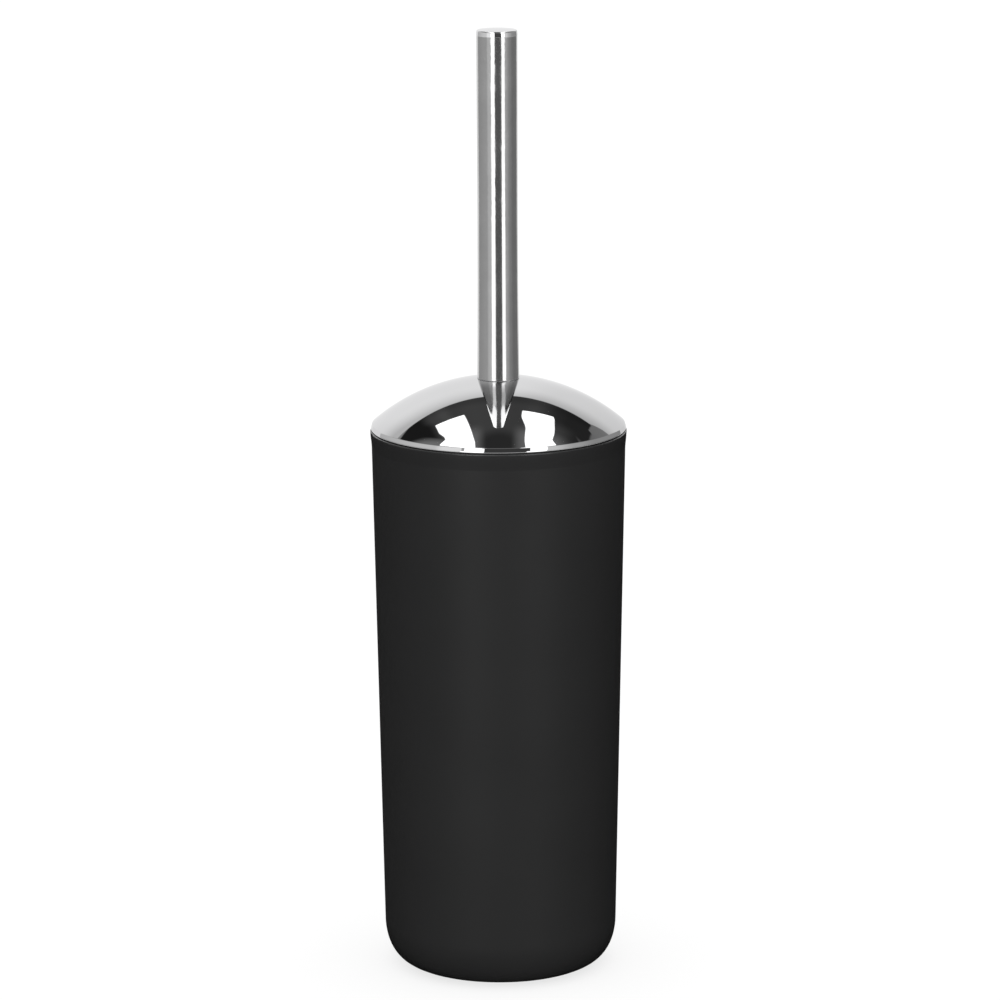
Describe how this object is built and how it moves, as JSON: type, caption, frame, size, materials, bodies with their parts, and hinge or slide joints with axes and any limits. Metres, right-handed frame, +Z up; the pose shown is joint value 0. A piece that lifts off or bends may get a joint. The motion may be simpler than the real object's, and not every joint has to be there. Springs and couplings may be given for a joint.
{
  "type": "toilet brush holder",
  "caption": "Free-standing toilet brush holder: tapered round cup, domed lid resting on its rim, and an upright tube handle that lifts lid and brush out together.",
  "frame": {"origin": "centre of the round footprint, at floor level", "axes": "+Z up, along the axis of the cup, lid and handle; the object is round, so +X and +Y are any two level directions"},
  "size_m": [0.1, 0.1, 0.3716],
  "materials": {
    "cup_plastic": "matt black, faintly textured",
    "foot_rubber": "soft black rubber",
    "lid_chrome": "mirror chrome",
    "lid_plastic": "black moulded, satin",
    "handle_steel": "polished stainless tube with a fine drawn grain",
    "cap_chrome": "polished chrome",
    "hardware_steel": "bright stainless hardware",
    "stem_steel": "satin stainless tube",
    "seal_rubber": "black rubber",
    "bush_brass": "turned brass",
    "head_plastic": "black moulded, satin",
    "bristle_nylon": "white crimped nylon bristles"
  },
  "bodies": {
    "holder": {"holder_cup": "cup_plastic", "foot_ring": "foot_rubber"},
    "brush": {"lid_dome": "lid_chrome", "lid_plate": "lid_plastic", "lid_stud": "hardware_steel", "lid_washer": "hardware_steel", "lid_nut": "hardware_steel", "handle_washer": "seal_rubber", "handle_tube": "handle_steel", "handle_end_cap": "cap_chrome", "handle_foot_plug": "hardware_steel", "stem_tube": "stem_steel", "stem_top_insert": "hardware_steel", "stem_foot_screw": "hardware_steel"},
    "seal": {"head_seal": "seal_rubber"},
    "brush_head": {"head_core": "head_plastic", "head_bush": "bush_brass", "bristles_side": "bristle_nylon", "bristles_tip": "bristle_nylon"}
  },
  "joints": [
    {"name": "brush_lift", "type": "slide", "parent": "holder", "child": "brush", "axis": [0, 0, 1], "range_m": [0, 0.22]},
    {"name": "head_travel", "type": "slide", "parent": "brush", "child": "seal", "axis": [0, 0, -1], "range_m": [0, 0.009]},
    {"name": "head_screw", "type": "hinge", "parent": "seal", "child": "brush_head", "pos_m": [0, 0, 0.06], "axis": [0, 0, -1], "range_deg": [0, 1080]}
  ],
  "couplings": [
    {"joint": "head_travel", "follows": "head_screw", "m_per_rad": 0.00047746}
  ]
}
